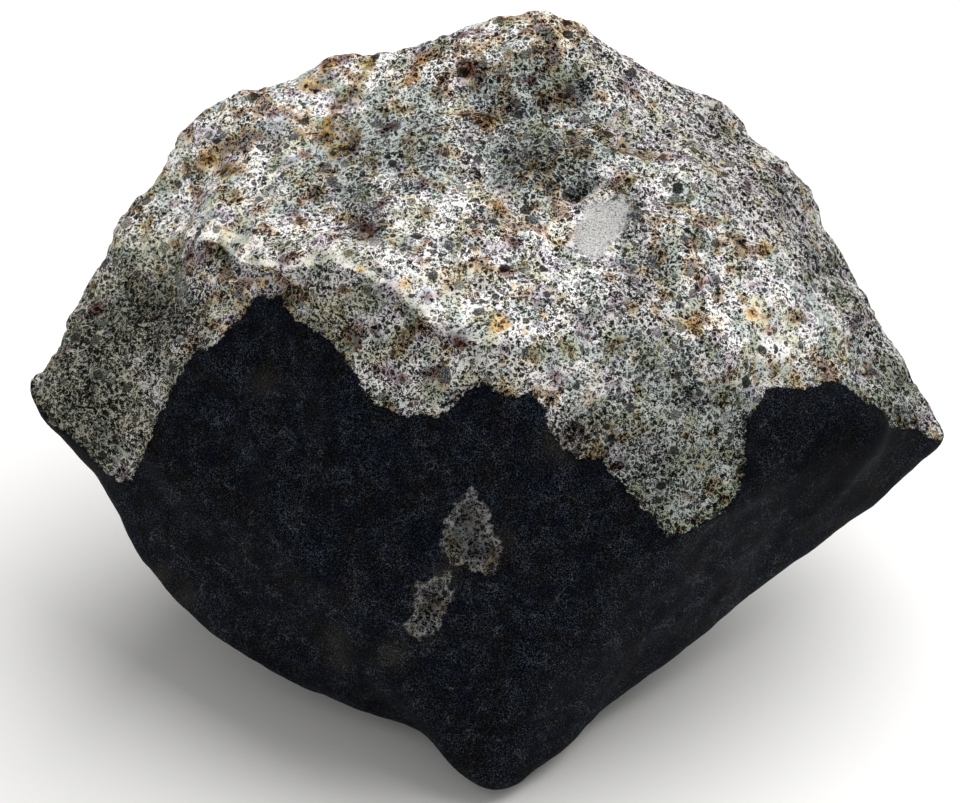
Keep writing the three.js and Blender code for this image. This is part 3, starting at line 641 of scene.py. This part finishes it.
def rockNodes(tree, place):
    add = partial(addNode, tree)
    rock = brokenRock
    grit = add("TexNoise", {"Vector": place, "Scale": 1 / rock["grit"], "Detail": 1.0})
    swirl = add("TexNoise", {"Vector": place, "Scale": 1 / rock["swirl"], "Detail": 2.0}, "Color")
    bent = add("VectorMath", (swirl, [rock["bend"]] * 3, place), operation="MULTIPLY_ADD")
    grain = add("TexVoronoi", {"Vector": bent, "Scale": 1 / rock["grain"]}, "Color")
    grain = add("SeparateColor", (grain,))
    clump = add("TexNoise", {"Vector": place, "Scale": 1 / rock["clump"], "Detail": 3.0, "Roughness": 0.65})
    patch = add("TexNoise", {"Vector": place, "Scale": 1 / rock["patch"], "Detail": 2.0})

    # broad patches first, darkened by painted shade and lightened by painted light, held between dark and
    # pale grey, so that each keeps its own fine grain
    shade = add("Attribute", out="Fac", attribute_name="shade")
    paintedLight = add("Attribute", out="Fac", attribute_name="paintedLight")
    broad = weighed(tree, -1.0, (clump, 2.1), (patch, 1.0), (shade, -0.4), (paintedLight, 0.3))
    broad = add("MapRange", (broad, -0.15, 1.08, -0.1, 0.72))

    # the brow is lightened as a painted highlight, with a ragged edge
    brow = weighed(tree, -1.0, (add("Attribute", out="Fac", attribute_name="brow"), 1.0), (clump, 2.0))
    brow = add("MapRange", (brow, 0.3, 0.65), interpolation_type="SMOOTHSTEP")
    browHighlight = add("Math", (brow, 0.92), operation="MULTIPLY")
    broad = add("Math", (broad, browHighlight), operation="MAXIMUM")

    # pale seams round the grains
    seam = add("TexVoronoi", {"Vector": bent, "Scale": 1 / rock["seam"]}, "Distance",
               feature="DISTANCE_TO_EDGE")
    seam = add("MapRange", (seam, rock["seamWidth"], 0.0), interpolation_type="SMOOTHSTEP")
    fine = weighed(tree, -1.66, (seam, 0.5), (grit, 2.5), (grain, 0.75))

    # bright specks are sharper than dark ones, most of all in dark places
    flank = add("Attribute", out="Fac", attribute_name="flank")
    contrast = weighed(tree, 1.4, (shade, -0.75), (brow, -0.3), (flank, 0.3))
    specks = weighed(tree, 0.3, (shade, 0.9), (paintedLight, -0.5), (brow, -0.4))
    contrast = add("Math", (specks, fine, contrast), operation="MULTIPLY_ADD")
    contrast = add("Clamp", (contrast, 0.3, 2.1))
    tone = add("Math", (fine, contrast, broad), operation="MULTIPLY_ADD")

    # streaks run down the right flank
    drawn = add("VectorMath", (place, stone["streaks"]), "Value", operation="DOT_PRODUCT")
    drawn = add("Math", (drawn, -rock["streakStretch"]), operation="MULTIPLY")
    drawn = add("VectorMath", (drawn, stone["streaks"], place), operation="MULTIPLY_ADD")
    streak = add("TexNoise", {"Vector": drawn, "Scale": 1 / rock["streak"], "Detail": 2.0})
    streak = weighed(tree, -0.5, (streak, 1.0))
    streak = add("Math", (streak, flank), operation="MULTIPLY")
    tone = weighed(tree, tone, (paintedLight, 0.04), (streak, 2.4))
    tone = beads(tree, bent, tone, grit, rock["smallBeads"])
    tone = beads(tree, bent, tone, grit, rock["largeBeads"])
    colour = add("ValToRGB", (tone,), stops=rock["tones"])
    colour = tinted(tree, place, colour, tone, brow)
    colour = add("Mix", {0: brow, 6: colour, 7: rock["cream"]}, 2, data_type="RGBA", blend_type="MULTIPLY")
    # painted shade: the colour dimmed where the shade attribute lies
    dim = add("Math", (rock["dim"], shade), operation="POWER")
    colour = add("Mix", {0: 1.0, 6: colour, 7: dim}, 2, data_type="RGBA", blend_type="MULTIPLY")
    return colour, weighed(tree, clump, (grit, 0.6), (grain, 0.25))


def tinted(tree, place, colour, tone, brow):
    # soft patches of tint, then rust round metal grains: a cream halo, ochre, and dark brown in the middle
    add = partial(addNode, tree)
    hues = add("TexNoise", {"Vector": place, "Scale": 1 / brokenRock["hue"], "Detail": 2.5}, "Color")
    hues = add("SeparateColor", (hues,))
    for i, (tint, stain, strength) in enumerate(brokenRock["tints"]):
        stain = add("Attribute", out="Fac", attribute_name=stain)
        amount = weighed(tree, hues.node.outputs[i], (stain, strength))
        amount = add("MapRange", (amount, 0.48, 0.66), interpolation_type="SMOOTHSTEP")
        colour = add("Mix", {0: amount, 6: colour, 7: tint}, 2, data_type="RGBA", blend_type="MULTIPLY")
    apart = add("VectorMath", (place, (31, 17, 5)), operation="ADD")
    rust = add("TexNoise", {"Vector": apart, "Scale": 1 / brokenRock["rust"], "Detail": 2.5})
    rusty = add("Attribute", out="Fac", attribute_name="rust")
    ochre = add("Attribute", out="Fac", attribute_name="ochre")
    olive = add("Attribute", out="Fac", attribute_name="olive")
    warm = weighed(tree, -2.4, (rust, 4.6), (olive, -0.35), (brow, -0.5), (rusty, 0.6), (ochre, 0.2))
    stain = add("ValToRGB", (warm,), stops=brokenRock["stain"])
    weight = add("MapRange", (tone, 0.0, 1.0, 1.0, 0.7))
    colour = add("Mix", {0: weight, 6: colour, 7: stain}, 2, data_type="RGBA", blend_type="MULTIPLY")
    gold = weighed(tree, -1.5, (ochre, 1.4), (rust, 1.2), (tone, 0.5))
    gold = add("MapRange", (gold, 0.0, 0.6), interpolation_type="SMOOTHSTEP")
    colour = add("Mix", {0: gold, 6: colour, 7: brokenRock["gold"]}, 2, data_type="RGBA",
                 blend_type="MULTIPLY")
    maroon = add("Attribute", out="Fac", attribute_name="maroon")
    maroon = weighed(tree, hues.node.outputs[0], (hues.node.outputs[1], -1.0), (maroon, 0.3))
    maroon = add("MapRange", (maroon, 0.12, 0.4), interpolation_type="SMOOTHSTEP")
    return add("Mix", {0: maroon, 6: colour, 7: brokenRock["maroon"]}, 2, data_type="RGBA",
               blend_type="MULTIPLY")


def crustNodes(tree, place):
    add = partial(addNode, tree)
    crust = fusionCrust
    speck = add("TexNoise", {"Vector": place, "Scale": 1 / crust["speck"], "Detail": 2.0, "Roughness": 0.6})
    patch = add("TexNoise", {"Vector": place, "Scale": 1 / crust["patch"], "Detail": 4.0, "Roughness": 0.65})
    apart = add("VectorMath", (place, (31, 17, 5)), operation="ADD")
    cloud = add("TexNoise", {"Vector": apart, "Scale": 1 / crust["cloud"], "Detail": 3.0, "Roughness": 0.7})
    colour = add("ValToRGB", (patch,), stops=crust["colours"])
    gathered = add("MapRange", (cloud, 0.38, 0.62, 0.35, 1.0))
    fleck = add("MapRange", (speck, 0.49, 0.68, 0, gathered), interpolation_type="SMOOTHSTEP")
    colour = add("Mix", {0: fleck, 6: colour, 7: crust["fleck"]}, 2, data_type="RGBA")
    # painted glints: the brightest specks turned pale
    sparkle = add("MapRange", (speck, 0.7, 0.8, 0, gathered), interpolation_type="SMOOTHSTEP")
    colour = add("Mix", {0: sparkle, 6: colour, 7: crust["sparkle"]}, 2, data_type="RGBA")

    # fine threads, some in a net and some loose, broken up into dashes
    swirl = add("TexNoise", {"Vector": place, "Scale": 1 / crust["swirl"], "Detail": 2.0}, "Color")
    bent = add("VectorMath", (swirl, place), operation="ADD")
    net = add("TexVoronoi", {"Vector": bent, "Scale": 1 / crust["net"]}, "Distance",
              feature="DISTANCE_TO_EDGE")
    net = add("MapRange", (net, crust["crack"], 0.0), interpolation_type="SMOOTHSTEP")
    apart = add("VectorMath", (place, (5, 31, 17)), operation="ADD")
    hair = add("TexNoise", {"Vector": apart, "Scale": 1 / crust["hair"], "Detail": 3.0, "Roughness": 0.6})
    hair = add("Math", (hair, 0.5), operation="SUBTRACT")
    hair = add("Math", (hair,), operation="ABSOLUTE")
    hair = add("MapRange", (hair, 0.006, 0.0), interpolation_type="SMOOTHSTEP")
    thread = add("Math", (net, hair), operation="MAXIMUM")
    dashes = add("MapRange", (speck, 0.38, 0.6), interpolation_type="SMOOTHSTEP")
    places = add("MapRange", (cloud, 0.44, 0.6), interpolation_type="SMOOTHSTEP")
    dashes = add("Math", (dashes, places), operation="MULTIPLY")
    thread = add("Math", (thread, dashes), operation="MULTIPLY")
    colour = add("Mix", {0: thread, 6: colour, 7: crust["thread"]}, 2, data_type="RGBA")
    worn = add("MapRange", (speck, 0.3, 0.7, 0, add("Attribute", out="Fac", attribute_name="scuff")))
    colour = add("Mix", {0: worn, 6: colour, 7: crust["scuff"]}, 2, data_type="RGBA")
    # painted shade darkens the crust
    dimmer = add("MapRange", (add("Attribute", out="Fac", attribute_name="shade"), 0, 1, 0, 0.8))
    colour = add("Mix", {0: dimmer, 6: colour, 7: "000000"}, 2, data_type="RGBA")
    height = add("Math", (speck, 0.35), operation="MULTIPLY")
    return colour, height


def chondriteMaterial():
    # stony meteorite, broken open: the rock is rough and dusty, and its fusion crust is thin black glass
    material = bpy.data.materials.new("chondriteWithFusionCrust")
    material.use_nodes = True
    tree = material.node_tree
    tree.nodes.clear()
    add = partial(addNode, tree)
    place = add("TexCoord", out="Object")
    place = add("VectorMath", {0: place, "Scale": 1 / mm}, operation="SCALE")
    place = drawnOut(tree, place)
    rock, rockHeight = rockNodes(tree, place)
    crust, crustHeight = crustNodes(tree, place)
    ragged = 1 / brokenRock["ragged"]
    ragged = add("TexNoise", {"Vector": place, "Scale": ragged, "Detail": 4.0, "Roughness": 0.7})

    edge = weighed(tree, -0.65, (add("Attribute", out="Fac", attribute_name="crust"), 1.0), (ragged, 1.0))
    crusted = add("MapRange", (edge, -0.06, 0.06), interpolation_type="SMOOTHSTEP")
    edge = weighed(tree, -0.8, (add("Attribute", out="Fac", attribute_name="chip"), 1.0), (ragged, 1.6))
    chipped = add("MapRange", (edge, -0.35, 0.45), interpolation_type="SMOOTHSTEP")
    covered = add("Math", (1.0, chipped), operation="SUBTRACT")
    covered = add("Math", (crusted, covered), operation="MULTIPLY")
    rock = add("Mix", {0: chipped, 6: rock, 7: brokenRock["chip"]}, 2, data_type="RGBA",
               blend_type="MULTIPLY")

    edge = weighed(tree, -1.0, (add("Attribute", out="Fac", attribute_name="clast"), 1.0), (ragged, 2.0))
    clast = add("MapRange", (edge, -0.45, 0.45, 0, 0.92), interpolation_type="SMOOTHSTEP")
    dust = 1 / brokenRock["clastGrain"]
    dust = add("TexNoise", {"Vector": place, "Scale": dust, "Detail": 2.0, "Roughness": 0.6})
    dust = add("ValToRGB", (dust,), stops=brokenRock["clast"])
    rock = add("Mix", {0: clast, 6: rock, 7: dust}, 2, data_type="RGBA")

    colour = add("Mix", {0: covered, 6: rock, 7: crust}, 2, data_type="RGBA")
    rough = add("MapRange", (covered, 0, 1, brokenRock["roughness"], fusionCrust["roughness"]))
    height = add("Mix", {0: covered, 2: rockHeight, 3: crustHeight})
    # rock dust and the frosted crust barely shine
    bump = add("Bump", {"Strength": 0.7, "Distance": 0.1 * mm, "Height": height})
    shader = add("BsdfPrincipled", {"Base Color": colour, "Roughness": rough, "Normal": bump,
                                    "IOR": 1.5, "Specular IOR Level": 0.02})
    add("OutputMaterial", {"Surface": shader}, None)
    return material


def chondruleMaterial():
    # rounded olivine and pyroxene beads: dark blue-grey to pale and brown, a little smoother than the matrix
    material = bpy.data.materials.new("olivineChondrule")
    material.use_nodes = True
    tree = material.node_tree
    tree.nodes.clear()
    add = partial(addNode, tree)
    place = add("TexCoord", out="Object")
    place = add("VectorMath", {0: place, "Scale": 1 / mm}, operation="SCALE")
    grit = add("TexNoise", {"Vector": place, "Scale": 1 / brokenRock["grit"], "Detail": 2.0})
    tone = add("Attribute", out="Fac", attribute_name="tone")
    colour = add("ValToRGB", (tone,), stops=chondrules["colours"])
    dusty = add("MapRange", (grit, 0.46, 0.7, 0.0, 0.8), interpolation_type="SMOOTHSTEP")
    colour = add("Mix", {0: dusty, 6: colour, 7: chondrules["dust"]}, 2, data_type="RGBA")
    bump = add("Bump", {"Strength": 0.5, "Distance": 0.08 * mm, "Height": grit})
    shader = add("BsdfPrincipled", {"Base Color": colour, "Roughness": 0.65, "Normal": bump,
                                    "IOR": 1.5, "Specular IOR Level": 0.2})
    add("OutputMaterial", {"Surface": shader}, None)
    return material


piece.data.materials.append(chondriteMaterial())
grains.data.materials.append(chondruleMaterial())
for part in (piece, grains):
    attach(part, "root")
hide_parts("meteorite")
print("materials set")


studio = dict(
    floorSide=4.0,              # m
    floorColour="f4f3f1",
    skyColour="ffffff",
    skyStrength=0.36,
    lamps=[                     # name, place (m), width (m), power (W)
        ("highRight", (0.33, 0.3, 0.78), 1.2, 12.8),
        ("frontFill", (-0.4, -0.7, 0.6), 0.8, 1.5),
    ],
)


def makeStudio():
    bm = bmesh.new()
    bmesh.ops.create_grid(bm, x_segments=1, y_segments=1, size=studio["floorSide"] / 2)
    mesh = bpy.data.meshes.new("floor")
    bm.to_mesh(mesh)
    bm.free()
    floor = bpy.data.objects.new("floor", mesh)
    bpy.context.scene.collection.objects.link(floor)
    paper = bpy.data.materials.new("matPaper")
    paper.use_nodes = True
    shader = paper.node_tree.nodes["Principled BSDF"]
    shader.inputs["Base Color"].default_value = linear(studio["floorColour"])
    shader.inputs["Roughness"].default_value = 0.9
    shader.inputs["Specular IOR Level"].default_value = 0.0
    mesh.materials.append(paper)

    world = bpy.data.worlds.new("studio")
    world.use_nodes = True
    sky = world.node_tree.nodes["Background"]
    sky.inputs["Color"].default_value = linear(studio["skyColour"])
    sky.inputs["Strength"].default_value = studio["skyStrength"]
    bpy.context.scene.world = world

    middle = Vector(view["middle"]) * mm
    for name, place, width, power in studio["lamps"]:
        lamp = bpy.data.lights.new(name, "AREA")
        lamp.size, lamp.energy = width, power
        holder = bpy.data.objects.new(name, lamp)
        holder.location = place
        holder.rotation_euler = (Vector(place) - middle).to_track_quat("Z", "Y").to_euler()
        bpy.context.scene.collection.objects.link(holder)


def makeCamera():
    camera = bpy.data.cameras.new("camera")
    camera.sensor_width = view["sensor"]
    camera.lens = view["sensor"] * view["distance"] / view["width"]
    camera.clip_start, camera.clip_end = 0.01, 20
    holder = bpy.data.objects.new("camera", camera)
    place = np.array(view["middle"]) + towardsCamera() * view["distance"] + (view["aside"], 0, 0)
    holder.location = place * mm
    holder.rotation_euler = (math.radians(90 - view["elevation"]), 0, 0)
    bpy.context.scene.collection.objects.link(holder)
    bpy.context.scene.camera = holder


makeStudio()
makeCamera()
bpy.context.scene.view_settings.view_transform = "Standard"
print("studio lit")
